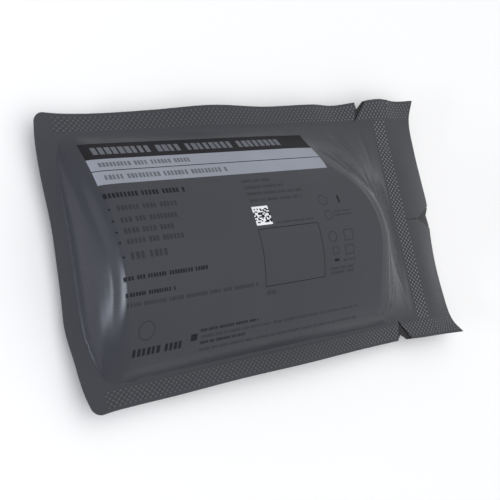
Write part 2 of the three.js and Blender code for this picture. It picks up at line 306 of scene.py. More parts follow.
@dataclass(frozen=True)
class PouchShape:
    """The pouch's own form: where its faces lie over the flat pouch, in millimetres.

    The curves are the profiles of the crown, of the tray under it and of the four cut edges, as
    shares of the sizes above them. The folds are low relief laid over those profiles.
    """

    length: float = 193.0
    width: float = 114.0
    front_rise: float = 22.2
    back_rise: float = 7.8
    film: float = 0.22
    seat: float = 0.36
    side_seal: float = 10.0
    closed_flange: float = 3.2
    header_flap: float = 22.0
    end_seal: float = 7.1
    closed_wall_run: float = 14.8
    back_foot_run: float = 13.0
    closed_foot_inset: float = 1.2
    closed_corner_sweep: float = 3.4
    closed_corner_power: int = 6
    cut_corner_radius: float = 3.5
    edge_bow: float = 5.0
    edge_lift: float = 4.0
    bow_reach: float = 14.0
    back_fold_room: float = 1.0
    knurl: Knurl = Knurl()
    cross_arch: Curve = Curve((
        (-1, 0), (-0.968, 0.072), (-0.894, 0.252), (-0.766, 0.495), (-0.596, 0.73),
        (-0.426, 0.9), (-0.213, 1), (0, 0.995), (0.213, 0.914), (0.426, 0.775),
        (0.596, 0.604), (0.766, 0.378), (0.894, 0.176), (0.968, 0.05), (1, 0),
    ))
    closed_wall: Curve = Curve((
        (0, 0), (0.02, 0.05), (0.06, 0.22), (0.1, 0.33), (0.15, 0.44), (0.22, 0.555), (0.28, 0.647),
        (0.335, 0.732), (0.38, 0.797), (0.42, 0.844), (0.46, 0.883), (0.5, 0.917), (0.53, 0.94),
        (0.57, 0.954), (0.65, 0.969), (0.78, 0.987), (1, 1),
    ))
    shoulder_line: Curve = Curve((
        (-1, 0.68), (-0.87, 0.66), (-0.66, 0.62), (-0.45, 0.61), (-0.15, 0.625),
        (0.15, 0.605), (0.37, 0.53), (0.62, 0.38), (0.745, 0.26), (0.87, 0.09), (1, -0.15),
    ))
    crown_fall: Curve = Curve((
        (0, 1), (0.12, 0.945), (0.22, 0.86), (0.4, 0.655), (0.6, 0.425), (0.8, 0.195),
        (0.92, 0.065), (1, 0),
    ))
    back_foot: Curve = Curve(((0, 0), (0.25, 0.3), (0.6, 0.85), (1, 1)))
    closed_edge: Edge = Edge((
        (-1, 0.06, 0), (-0.84, 0.4, -0.25), (-0.63, 0.6, -0.5), (-0.42, 0.78, -0.75),
        (-0.2, 0.6, -0.75), (0, 0.48, -0.7), (0.25, 0.38, -0.62), (0.6, 0.5, -0.55),
        (0.85, 0.48, -0.3), (1, 0.36, 0),
    ))
    flap_edge: Edge = Edge((
        (-1, -0.4, 0), (-0.9, -1, -0.375), (-0.75, -0.92, -0.75), (-0.45, -0.88, -1),
        (-0.2, -0.68, -1), (0.1, -0.18, -0.95), (0.3, -0.28, -0.85), (0.55, -0.48, -0.65),
        (0.85, -0.58, -0.25), (1, 0.06, 0),
    ))
    upper_edge: Edge = Edge((
        (-1, -0.08, 0.15), (-0.9, -0.2, -0.25), (-0.74, -0.2, -0.4), (-0.5, -0.08, -0.15),
        (-0.22, 0.1, 0.35), (0.07, -0.06, 0), (0.35, 0.02, 0.1), (0.48, -0.06, -0.2),
        (0.62, 0.12, 0.25), (0.76, 0.3, 0.6), (0.88, 0.1, 0.25), (1, 0.14, 0.3),
    ))
    lower_edge: Edge = Edge((
        (-1, -0.12, 0.15), (-0.9, -0.24, -0.15), (-0.64, -0.26, -0.25), (-0.35, -0.36, 0.12),
        (0, -0.32, 0.25), (0.3, -0.36, -0.1), (0.47, -0.34, -0.3), (0.6, -0.3, -0.15),
        (0.72, -0.12, 0.1), (0.9, 0.08, 0.2), (1, 0.22, 0.38),
    ))
    crown_folds: tuple[Fold, ...] = (
        Fold(((22, 39, 0, 1.8), (28, 33, -0.12, 1.7), (34, 22, -0.14, 1.6), (36.3, 12, -0.14, 1.5),
              (38, 3.5, -0.1, 1.3), (39, -8, 0, 1.2))),
        Fold(((33, 43.5, 0, 3), (41, 37.5, 0.3, 2.6), (45.8, 31, 0.3, 2.2), (48, 24.5, 0.28, 1.9),
              (45.8, 16.4, 0.25, 1.7), (42.4, 8, 0.22, 1.5), (41.8, 0, 0.2, 1.4), (42.2, -8, 0.2, 1.4),
              (42.4, -16, 0.22, 1.4), (42.2, -24, 0.26, 1.5), (44, -32, 0.34, 1.8), (44.8, -38, 0.32, 2),
              (43.8, -43, 0.25, 1.9), (39, -45.8, 0, 1.6))),
        Fold(((37, 43.4, 0, 1.7), (42, 40.2, -0.24, 1.7), (47, 34.4, -0.3, 1.7), (49.6, 27, -0.24, 1.6),
              (49.6, 20, -0.14, 1.5), (47, 12, -0.06, 1.4), (45, 5, 0, 1.2))),
        Fold(((57, 43.8, 0, 1.6), (58.6, 38.6, -0.2, 1.6), (59.4, 31, -0.22, 1.6), (58.6, 24, -0.12, 1.5),
              (54, 15, 0, 1.2))),
        Fold(((43, -14, 0, 1.3), (45.5, -20, -0.12, 1.4), (48.8, -28, -0.24, 1.6),
              (49.6, -34.9, -0.26, 1.6), (49, -42, 0, 1.4))),
        Fold(((44, -12, 0, 1.6), (49, -19, 0.18, 1.9), (55.5, -27, 0.28, 2.1), (60.3, -34, 0.3, 2),
              (62.8, -40, 0.24, 1.8), (64, -45, 0, 1.6))),
    )
    wall_folds: tuple[Fold, ...] = (
        Fold(((-89.6, 42, 0, 2), (-88.8, 30, -0.6, 2), (-87.9, 18, -1.05, 2), (-87.1, 6, -1.15, 1.8),
              (-86.7, -5, -1, 1.4), (-86.8, -13, -0.8, 1.2), (-87.2, -20, -0.55, 1.1),
              (-87.8, -27, -0.25, 1.1), (-88.5, -33, 0, 1.2)), Profile.CREASED),
        Fold(((-83.8, -2, 0, 1.8), (-83.9, -8, 0.2, 1.9), (-84.2, -14, 0.45, 2), (-84.8, -20, 0.65, 2.1),
              (-85.4, -27, 0.85, 2.2), (-86.2, -34, 0.6, 2), (-86.8, -40, 0, 1.8)), Profile.CREASED),
    )
    flap_folds: tuple[Fold, ...] = (
        Fold(((78.8, 57, 0.35, 0.8), (78.2, 54, 0.3, 0.8), (77.9, 50, 0, 0.8))),
        Fold(((79, -57, 0.3, 0.8), (78.4, -53, 0.2, 0.8), (78, -50, 0, 0.8))),
        Fold(((86, -0.9, -0.35, 0.35), (81, -0.75, -0.4, 0.35), (76, -0.6, 0, 0.3)), Profile.CREASED),
        Fold(((-80.2, -55.6, 0, 0.5), (-79, -53.6, 0.25, 0.5), (-77.4, -52, 0, 0.5)), Profile.CREASED),
        Fold(((-65, -55.2, 0, 0.5), (-63.6, -52.4, 0.3, 0.5), (-62.6, -49.8, 0, 0.5)), Profile.CREASED),
    )
    back_folds: tuple[Fold, ...] = (
        Fold(((-84, 30, 0, 1.6), (-86, 10, 0.5, 1.6), (-85, -12, 0.5, 1.6), (-82, -32, 0, 1.6))),
        Fold(((58, 34, 0, 1.6), (61, 12, 0.5, 1.6), (60, -14, 0.5, 1.6), (57, -34, 0, 1.6))),
        Fold(((52, 40, 0, 1.6), (44, 34, 0.4, 1.6), (30, 41, 0, 1.6))),
        Fold(((50, -40, 0, 1.6), (38, -35, 0.4, 1.6), (20, -41, 0, 1.6))),
    )

    @property
    def half_length(self) -> float:
        """Half the pouch's cut length."""
        return self.length / 2

    @property
    def half_width(self) -> float:
        """Half the pouch's cut width."""
        return self.width / 2

    @property
    def crown_half_width(self) -> float:
        """Half the width between the long seals."""
        return self.half_width - self.side_seal

    @property
    def crown_start(self) -> float:
        """Where the closed wall's foot stands, on the middle line."""
        return self.closed_flange - self.half_length

    @property
    def flap_start(self) -> float:
        """Where the end seal gives way to the header flap."""
        return self.half_length - self.header_flap

    @property
    def crown_end(self) -> float:
        """Where the crown comes down to the end seal."""
        return self.flap_start - self.end_seal

    def middle(self, x: Array, y: Array) -> Array:
        """Where the surface between the two films lies.

        It is the flat pouch. Its four edges bow and lift by their own curves, each eased in over
        its reach, and the header flap lifts with the square of the share across it.

        Args:
            x: Places along the flat pouch.
            y: Places across it.

        Returns:
            Points, one row each.
        """
        along, across = x / self.half_length, y / self.half_width
        closed = 1.0 - eased(x, -self.half_length, -self.half_length + self.bow_reach)
        flange = 1.0 - eased(x, -self.half_length, self.crown_start + self.closed_flange)
        flap = eased(x, self.flap_start, self.half_length)
        droop = np.clip((x - self.flap_start) / self.header_flap, 0.0, 1.0) ** 2
        upper = eased(y, self.half_width - self.bow_reach, self.half_width)
        lower = eased(-y, self.half_width - self.bow_reach, self.half_width)
        bow_x = flap * self.flap_edge.bow(across) - closed * self.closed_edge.bow(across)
        bow_y = upper * self.upper_edge.bow(along) - lower * self.lower_edge.bow(along)
        lift = (
            droop * self.flap_edge.lift(across)
            + flange * self.closed_edge.lift(across)
            + upper * self.upper_edge.lift(along)
            + lower * self.lower_edge.lift(along)
        )
        return np.stack([x + bow_x * self.edge_bow, y + bow_y * self.edge_bow, lift * self.edge_lift], 1)

    def closed_foot(self, y: Array) -> Array:
        """The closed wall's foot, which sweeps in with a high power of the share across."""
        share = np.clip(np.abs(y) / self.crown_half_width, 0.0, 1.0) ** self.closed_corner_power
        return self.crown_start + self.closed_foot_inset + self.closed_corner_sweep * share

    def shoulder(self, y: Array) -> Array:
        """Where the crown leaves its full height on the way to the end seal.

        Args:
            y: Places across the pouch.

        Returns:
            The middle of the crown, plus its half length times the shoulder line's share there.
        """
        middle = (self.crown_end + self.crown_start) / 2
        half = (self.crown_end - self.crown_start) / 2
        return middle + half * self.shoulder_line.at(y / self.crown_half_width)

    def crown_height(self, x: Array, y: Array) -> Array:
        """How far the front film stands above the middle surface.

        It is the product of three profiles: the arch across the pouch, the wall at the closed
        end, and the fall from the shoulder to the end seal.

        Args:
            x: Places along the flat pouch.
            y: Places across it.

        Returns:
            Heights, in millimetres.
        """
        arch = self.cross_arch.at(y / self.crown_half_width)
        wall = self.closed_wall.at((x - self.closed_foot(y)) / self.closed_wall_run)
        shoulder = self.shoulder(y)
        fall = self.crown_fall.at(np.clip((x - shoulder) / (self.crown_end - shoulder), 0.0, 1.0))
        return self.seat + (self.front_rise - self.seat) * arch * wall * fall

    def back_depth(self, x: Array, y: Array) -> Array:
        """How far the back film hangs below the middle surface.

        It is the product of the foot's profile in from the long seals, from the closed end and
        from the end seal.

        Args:
            x: Places along the flat pouch.
            y: Places across it.

        Returns:
            Depths, in millimetres.
        """
        runs = (
            self.crown_half_width - np.abs(y),
            x - self.closed_foot(y),
            self.crown_end - x,
        )
        shares = [self.back_foot.at(np.clip(run / self.back_foot_run, 0.0, 1.0)) for run in runs]
        return self.seat + (self.back_rise - self.seat) * np.prod(shares, axis=0)

    def dots(self, x: Array, y: Array) -> Array:
        """The height of the seals' dots, in millimetres."""
        return self.knurl.height * self.knurl.relief(x, y)

    def front_plain(self, x: Array, y: Array) -> Array:
        """The front film's outer face, without its folds and the seals' dots."""
        return lifted(self.middle(x, y), self.crown_height(x, y))

    def front_bare(self, x: Array, y: Array) -> Array:
        """The front film's outer face with its folds, and without the seals' dots."""
        folds = sum(fold.relief(x, y) for fold in (*self.crown_folds, *self.wall_folds, *self.flap_folds))
        return lifted(self.middle(x, y), self.crown_height(x, y) + folds)

    def front_outer(self, x: Array, y: Array) -> Array:
        """The front film's outer face, with the seals' dots."""
        return lifted(self.front_bare(x, y), self.dots(x, y))

    def front_inner(self, x: Array, y: Array) -> Array:
        """The front film's inner face, a film's thickness in from the bare outer one."""
        return self.front_bare(x, y) - self.film * normals_of(self.front_bare, x, y)

    def back_plain(self, x: Array, y: Array) -> Array:
        """The back film's outer face, without its folds and the seals' dots."""
        return lifted(self.middle(x, y), -self.back_depth(x, y))

    def back_bare(self, x: Array, y: Array) -> Array:
        """The back film's outer face with its folds, and without the seals' dots.

        The folds fade out towards the flat floor of the tray, over the last of its depth.

        Args:
            x: Places along the flat pouch.
            y: Places across it.

        Returns:
            Points, one row each.
        """
        depth = self.back_depth(x, y)
        room = eased(self.back_rise - depth, 0.0, self.back_fold_room)
        folds = sum(fold.relief(x, y) for fold in self.back_folds)
        return lifted(self.middle(x, y), -depth - room * folds)

    def back_outer(self, x: Array, y: Array) -> Array:
        """The back film's outer face, with the seals' dots."""
        return lifted(self.back_bare(x, y), -self.dots(x, y))

    def back_inner(self, x: Array, y: Array) -> Array:
        """The back film's inner face, a film's thickness in, with the dots that show in the notches."""
        points = self.back_bare(x, y) + self.film * normals_of(self.back_bare, x, y)
        return lifted(points, self.dots(x, y) / 2)


def lifted(points: Array, height: Array) -> Array:
    """Points moved straight up by their heights."""
    return points + height[:, None] * np.array((0.0, 0.0, 1.0))


def normals_of(surface: Surface, x: Array, y: Array, step: float = 0.04) -> Array:
    """The upward unit normals of a surface.

    Each is the cross product of the surface's change over a small step along and across.

    Args:
        surface: The surface, which gives points for places along and across.
        x: Places along the pouch.
        y: Places across it.
        step: The step each way.

    Returns:
        Unit vectors, one row each.
    """
    along = surface(x + step, y) - surface(x - step, y)
    across = surface(x, y + step) - surface(x, y - step)
    normal = np.cross(along, across)
    return normal / np.linalg.norm(normal, axis=1, keepdims=True)


@dataclass(frozen=True)
class Placement:
    """The step from the pouch's own frame, in millimetres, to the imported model's, in metres."""

    shift: Triple
    edge_samples: ClassVar[int] = 801

    @classmethod
    def from_frame(cls, shape: PouchShape) -> "Placement":
        """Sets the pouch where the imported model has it.

        The middle of the pouch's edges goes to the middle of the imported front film's box, and the
        back film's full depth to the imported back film's lowest point.

        Args:
            shape: The pouch's form.

        Returns:
            The placement.
        """
        low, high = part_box("front_film")
        t = np.linspace(-1.0, 1.0, cls.edge_samples)
        x, y = t * shape.half_length, t * shape.half_width
        ends = [shape.middle(np.full_like(y, s * shape.half_length), y)[:, 0] for s in (-1, 1)]
        sides = [shape.middle(x, np.full_like(x, s * shape.half_width))[:, 1] for s in (-1, 1)]
        own_x = (ends[0].min() + ends[1].max()) / 2
        own_y = (sides[0].min() + sides[1].max()) / 2
        middle = (low + high) / 2 * MM
        return cls((middle.x - own_x, middle.y - own_y, shape.back_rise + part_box("back_film")[0].z * MM))

    def metres(self, points: Array) -> Array:
        """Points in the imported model's frame, in metres."""
        return (points + np.array(self.shift)) / MM


class Tone(Enum):
    """The finishes that a film's faces take."""

    FILM = 0
    # The films' inner faces are near black: painted shade where they show in the notches.
    SHADED_INSIDE = 1
    BLACK = 2
    LIGHT = 3
    STRONG = 4
    FAINT = 5
    WHITE = 6
    MUTED = 7


Finishes = dict[Tone, bpy.types.Material]


@dataclass(frozen=True)
class Mark:
    """One printed shape: a polygon on the flat pouch, and its tone."""

    tone: Tone
    outline: Array


def box_outline(low_x: float, low_y: float, high_x: float, high_y: float) -> Array:
    """The four corners of an upright rectangle."""
    return np.array([(low_x, low_y), (high_x, low_y), (high_x, high_y), (low_x, high_y)], float)


def ring_outline(x: float, y: float, radius: float, sides: int = 20) -> Array:
    """A circle's points, at even angles."""
    turn = np.arange(sides) * 2 * math.pi / sides
    return np.stack([x + radius * np.cos(turn), y + radius * np.sin(turn)], axis=1)


@dataclass(frozen=True)
class BlockRow:
    """A line of plain blocks: its start, its end, its foot and its blocks' height."""

    start: float
    end: float
    foot: float
    height: float
    tone: Tone = Tone.STRONG
    pitch_share: float = 0.74
    space_share: float = 0.8
    widths: tuple[float, ...] = (0.6, 0.66, 0.72, 0.78)
    group_sizes: tuple[int, int] = (3, 10)

    def marks(self, dice: np.random.Generator) -> list[Mark]:
        """Blocks of uneven widths, in groups of uneven lengths.

        Args:
            dice: The seeded source of the groups' lengths and the blocks' widths.

        Returns:
            One mark for each block.
        """
        made, x = [], self.start
        pitch = self.height * self.pitch_share
        while x < self.end - pitch:
            for _ in range(int(dice.integers(*self.group_sizes))):
                wide = pitch * float(dice.choice(self.widths))
                if x + wide > self.end:
                    break
                made.append(Mark(self.tone, box_outline(x, self.foot, x + wide, self.foot + self.height)))
                x += pitch
            x += pitch * self.space_share
        return made


@dataclass(frozen=True)
class Print:
    """The plain print on the front film: bars, rows of blocks, outlines and a square patch."""

    seed: int = 7
    bar_start: float = -85.0
    bar_end: float = 20.9
    bar_edges: tuple[float, float, float, float] = (42.4, 34.9, 29.6, 23.8)
    divider: float = 0.35
    patch: tuple[float, float, float, float] = (-25.9, 1.4, -18.2, 9.2)
    patch_cells: int = 11
    patch_border: float = 0.9
    patch_share: float = 0.5
    frame: tuple[float, float, float, float] = (-26.0, -22.4, 4.1, 0.0)
    frame_line: float = 0.3
    rows: tuple[BlockRow, ...] = (
        BlockRow(-81.5, 6.0, 37.0, 3.4, Tone.MUTED, pitch_share=0.82),
        BlockRow(-81.8, -43.0, 31.3, 2.0, Tone.MUTED), BlockRow(-81.8, -28.5, 25.6, 2.1, Tone.MUTED),
        BlockRow(-84.8, -51.4, 18.2, 2.0),
        BlockRow(-81.8, -57.2, 13.0, 2.0, Tone.FAINT), BlockRow(-81.8, -57.8, 8.4, 2.0, Tone.FAINT),
        BlockRow(-81.8, -61.0, 4.2, 2.0, Tone.FAINT), BlockRow(-81.8, -58.6, 0.3, 2.0, Tone.FAINT),
        BlockRow(-81.6, -67.0, -5.3, 2.6, Tone.FAINT),
        BlockRow(-85.0, -50.0, -12.4, 1.5), BlockRow(-85.0, -65.0, -18.0, 1.4),
        BlockRow(-85.0, -29.0, -21.5, 1.4, Tone.FAINT),
        BlockRow(-25.4, -11.5, 19.8, 1.2, Tone.FAINT), BlockRow(-25.4, -6.5, 16.9, 1.2, Tone.FAINT),
        BlockRow(-25.4, 2.8, 14.1, 1.2, Tone.FAINT), BlockRow(-25.4, 1.0, 11.2, 1.2, Tone.FAINT),
        BlockRow(-16.4, 2.2, 1.3, 0.9, Tone.FAINT), BlockRow(-25.0, -20.6, -25.4, 1.5, Tone.FAINT),
        BlockRow(13.8, 23.0, 3.2, 0.8, Tone.FAINT), BlockRow(13.8, 23.0, 1.6, 0.8, Tone.FAINT),
        BlockRow(14.2, 20.4, -17.4, 0.9, Tone.FAINT),
        BlockRow(7.4, 19.6, -20.2, 1.1, Tone.FAINT), BlockRow(7.4, 19.6, -21.9, 1.1, Tone.FAINT),
        BlockRow(-54.6, -27.7, -34.3, 1.0), BlockRow(-54.0, -21.6, -36.6, 1.0, Tone.FAINT),
        BlockRow(-20.0, 25.8, -36.6, 1.0, Tone.FAINT), BlockRow(-54.0, -33.0, -38.7, 1.0),
        BlockRow(-54.0, 26.3, -41.2, 1.0, Tone.FAINT),
        BlockRow(-82.5, -62.0, -38.6, 2.6),
    )
    dots: Rows = ((-84.3, 14.0), (-84.3, 9.4), (-84.2, 5.2), (-84.1, 1.3), (-84.0, -4.0))
    dot_radius: float = 0.38
    dot_sides: int = 10
    rings: Rows = ((10.3, 9.0, 2.4), (10.7, 2.4, 2.2), (9.9, -6.8, 2.3), (-77.6, -30.2, 3.4))
    ring_line: float = 0.42
    panes: Rows = ((16.0, -9.2, 21.0, -4.4), (8.8, -14.2, 12.0, -10.8), (15.6, -14.8, 20.4, -10.9))
    tear_line: Rows = ((75.9, 76.8), (77.6, 79.0), (79.7, 80.7), (81.4, 83.5))
    tear_line_y: Pair = (-0.95, -0.5)
    blocks: Rows = ((9.2, -17.0, 11.8, -15.9), (-58.6, -37.0, -55.8, -34.6), (18.2, 7.2, 19.2, 10.6))

    @staticmethod
    def _framed(tone: Tone, low_x: float, low_y: float, high_x: float, high_y: float,
                line: float) -> list[Mark]:
        """A rectangle's outline: a filled one with bare film inside it."""
        inner = box_outline(low_x + line, low_y + line, high_x - line, high_y - line)
        return [Mark(tone, box_outline(low_x, low_y, high_x, high_y)), Mark(Tone.FILM, inner)]

    def _patch_marks(self, dice: np.random.Generator) -> list[Mark]:
        """A pale square with dark cells dropped over it at random, and a border above and below.

        Args:
            dice: The seeded source of the dark cells.

        Returns:
            The square, then one mark for each dark cell.
        """
        low_x, low_y, high_x, high_y = self.patch
        made = [Mark(Tone.WHITE, box_outline(*self.patch))]
        edges_x = np.linspace(low_x, high_x, self.patch_cells + 1)
        edges_y = np.linspace(low_y + self.patch_border, high_y - self.patch_border, self.patch_cells + 1)
        dark = dice.random((self.patch_cells, self.patch_cells)) < self.patch_share
        for i, j in zip(*np.nonzero(dark)):
            corners = box_outline(edges_x[i], edges_y[j], edges_x[i + 1], edges_y[j + 1])
            made.append(Mark(Tone.BLACK, corners))
        return made

    def marks(self) -> list[Mark]:
        """All the print, the later marks over the earlier ones.

        Returns:
            The marks in the order in which they cover each other.
        """
        dice = np.random.default_rng(self.seed)
        top, first, second, foot = self.bar_edges
        half = self.divider / 2
        bars = (
            (Tone.BLACK, first, top),
            (Tone.LIGHT, second + half, first),
            (Tone.STRONG, second - half, second + half),
            (Tone.LIGHT, foot, second - half),
        )
        made = [
            Mark(tone, box_outline(self.bar_start, low, self.bar_end, high)) for tone, low, high in bars
        ]
        for row in self.rows:
            made += row.marks(dice)
        made += [
            Mark(Tone.STRONG, ring_outline(x, y, self.dot_radius, self.dot_sides)) for x, y in self.dots
        ]
        for x, y, radius in self.rings:
            made.append(Mark(Tone.FAINT, ring_outline(x, y, radius)))
            made.append(Mark(Tone.FILM, ring_outline(x, y, radius - self.ring_line)))
        for pane in self.panes:
            made += self._framed(Tone.FAINT, *pane, self.ring_line)
        made += [Mark(Tone.STRONG, box_outline(*block)) for block in self.blocks]
        low, high = self.tear_line_y
        made += [Mark(Tone.STRONG, box_outline(start, low, end, high)) for start, end in self.tear_line]
        made += self._framed(Tone.STRONG, *self.frame, self.frame_line)
        return made + self._patch_marks(dice)


@dataclass(frozen=True)
class Notch:
    """One tear notch, a leaning V.

    mouth and apex are places along the cut edge: on a long edge the distance from the flap's
    edge, and on the flap's edge the offset from the middle line.
    """

    mouth: float
    apex: float
    depth: float
    width: float

    def corners(self, origin: Pair, along: Pair) -> Array:
        """The V's three corners on the flat pouch, in the outline's order.

        Args:
            origin: The point of the edge that mouth and apex are measured from.
            along: The way that the outline runs there, counter-clockwise, as a unit vector.

        Returns:
            The mouth's first corner, the apex and the mouth's second corner.
        """
        start, way = np.array(origin), np.array(along)
        inward = np.array((-way[1], way[0]))
        sign = -1.0 if way[0] > 0 else 1.0
        mouth, apex = start + way * self.mouth * sign, start + way * self.apex * sign
        half = way * self.width / 2
        return np.array((mouth - half, apex + inward * self.depth, mouth + half))


@dataclass(frozen=True)
class Notches:
    """The three tear notches of one film: one in each long edge and one in the flap's edge."""

    upper: Notch
    lower: Notch
    flap: Notch
    corner_points: int = 12

    def _cuts(self, shape: PouchShape) -> list[Array]:
        """Each notch's corners, in the order of the outline: lower, flap, upper."""
        x, y = shape.half_length, shape.half_width
        return [
            self.lower.corners((x, -y), (1.0, 0.0)),
            self.flap.corners((x, 0.0), (0.0, 1.0)),
            self.upper.corners((x, y), (-1.0, 0.0)),
        ]

    def outline(self, shape: PouchShape, step: float) -> Array:
        """The film's cut outline on the flat pouch, counter-clockwise.

        The two corners of the closed end are quarter circles, and each notch is a V.

        Args:
            shape: The pouch's form.
            step: The longest stretch between two points.

        Returns:
            The outline's points.
        """
        x, y, r = shape.half_length, shape.half_width, shape.cut_corner_radius
        turn = np.linspace(0.0, math.pi / 2, self.corner_points)
        corner = np.stack([r - r * np.cos(turn), r - r * np.sin(turn)], axis=1)
        start = corner * (1, 1) + (-x, -y)
        end = corner[::-1] * (1, -1) + (-x, y)
        lower, flap, upper = self._cuts(shape)
        return divided(np.concatenate([start, lower, [(x, -y)], flap, [(x, y)], upper, end]), step)

    def clear(self, shape: PouchShape, x: Array, y: Array, margin: float) -> Array:
        """Which places lie inside the outline, with a margin to it.

        Args:
            shape: The pouch's form.
            x: Places along the pouch.
            y: Places across it.
            margin: The least distance to the outline.

        Returns:
            True for each place that is clear.
        """
        half_x, half_y, r = shape.half_length, shape.half_width, shape.cut_corner_radius
        inside = (np.abs(x) < half_x - margin) & (np.abs(y) < half_y - margin)
        past_x, past_y = -half_x + r - x, np.abs(y) - half_y + r
        inside &= (past_x < 0) | (past_y < 0) | (np.hypot(past_x, past_y) < r - margin)
        for first, apex, last in self._cuts(shape):
            inside &= (left_of(first, apex, x, y) > margin) | (left_of(apex, last, x, y) > margin)
        return inside


FRONT_NOTCHES = Notches(
    upper=Notch(mouth=34.5, apex=39.7, depth=8.9, width=6.1),
    lower=Notch(mouth=38.3, apex=40.5, depth=10.2, width=8.1),
    flap=Notch(mouth=-0.4, apex=-0.9, depth=12.0, width=11.0),
)
BACK_NOTCHES = Notches(
    upper=Notch(mouth=35.0, apex=37.0, depth=3.3, width=4.8),
    lower=Notch(mouth=39.6, apex=40.1, depth=2.7, width=5.3),
    flap=Notch(mouth=-0.4, apex=0.7, depth=2.2, width=8.2),
)


def left_of(start: Array, end: Array, x: Array, y: Array) -> Array:
    """How far places lie to the left of the line from start to end."""
    way = (end - start) / np.linalg.norm(end - start)
    return way[0] * (y - start[1]) - way[1] * (x - start[0])


def divided(corners: Array, step: float) -> Array:
    """Points along a closed polygon, no further apart than a step.

    Args:
        corners: The polygon's corners.
        step: The longest stretch between two points.

    Returns:
        The corners with evenly spaced points between them.
    """
    ahead = np.roll(corners, -1, axis=0)
    counts = np.maximum(np.ceil(np.linalg.norm(ahead - corners, axis=1) / step), 1).astype(int)
    index = np.repeat(np.arange(len(corners)), counts)
    share = (np.arange(len(index)) - np.repeat(np.cumsum(counts) - counts, counts)) / counts[index]
    return corners[index] + share[:, None] * (ahead - corners)[index]


@dataclass(frozen=True)
class Patch:
    """A stretch of the flat pouch with points of one spacing, every other row shifted by half."""

    x: Pair
    y: Pair
    step_x: float
    step_y: float

    def points(self) -> Array:
        """The patch's points.

        Row j lies at y0 + step_y (j + 1/2), and its points at x0 + step_x (i + 1/4), or at
        x0 + step_x (i + 3/4) in every other row.

        Returns:
            The points, row after row.
        """
        rows = np.arange(self.y[0] + self.step_y / 2, self.y[1], self.step_y)
        columns = np.arange(self.x[0] + self.step_x / 4, self.x[1] - self.step_x / 2, self.step_x)
        x, y = np.meshgrid(columns, rows)
        x = x + np.where(np.arange(len(rows)) % 2 == 1, self.step_x / 2, 0.0)[:, None]
        return np.stack([x.ravel(), y.ravel()], axis=1)


@dataclass(frozen=True)
class Layer:
    """One face of a film: its flat points and triangles, its tones and its surface."""

    flat: Array
    triangles: Array
    tones: Array
    surface: Surface

    def points(self) -> Array:
        """The layer's points on its surface."""
        return self.surface(self.flat[:, 0], self.flat[:, 1])

    def normals(self) -> Array:
        """The upward normals at its points."""
        return normals_of(self.surface, self.flat[:, 0], self.flat[:, 1])


class Detail(Enum):
    """What a film's face has to resolve: its folds, its dots, the dots in the notches, or little."""

    FOLDED = "folded"
    DOTTED = "dotted"
    NOTCHES = "notches"
    HIDDEN = "hidden"


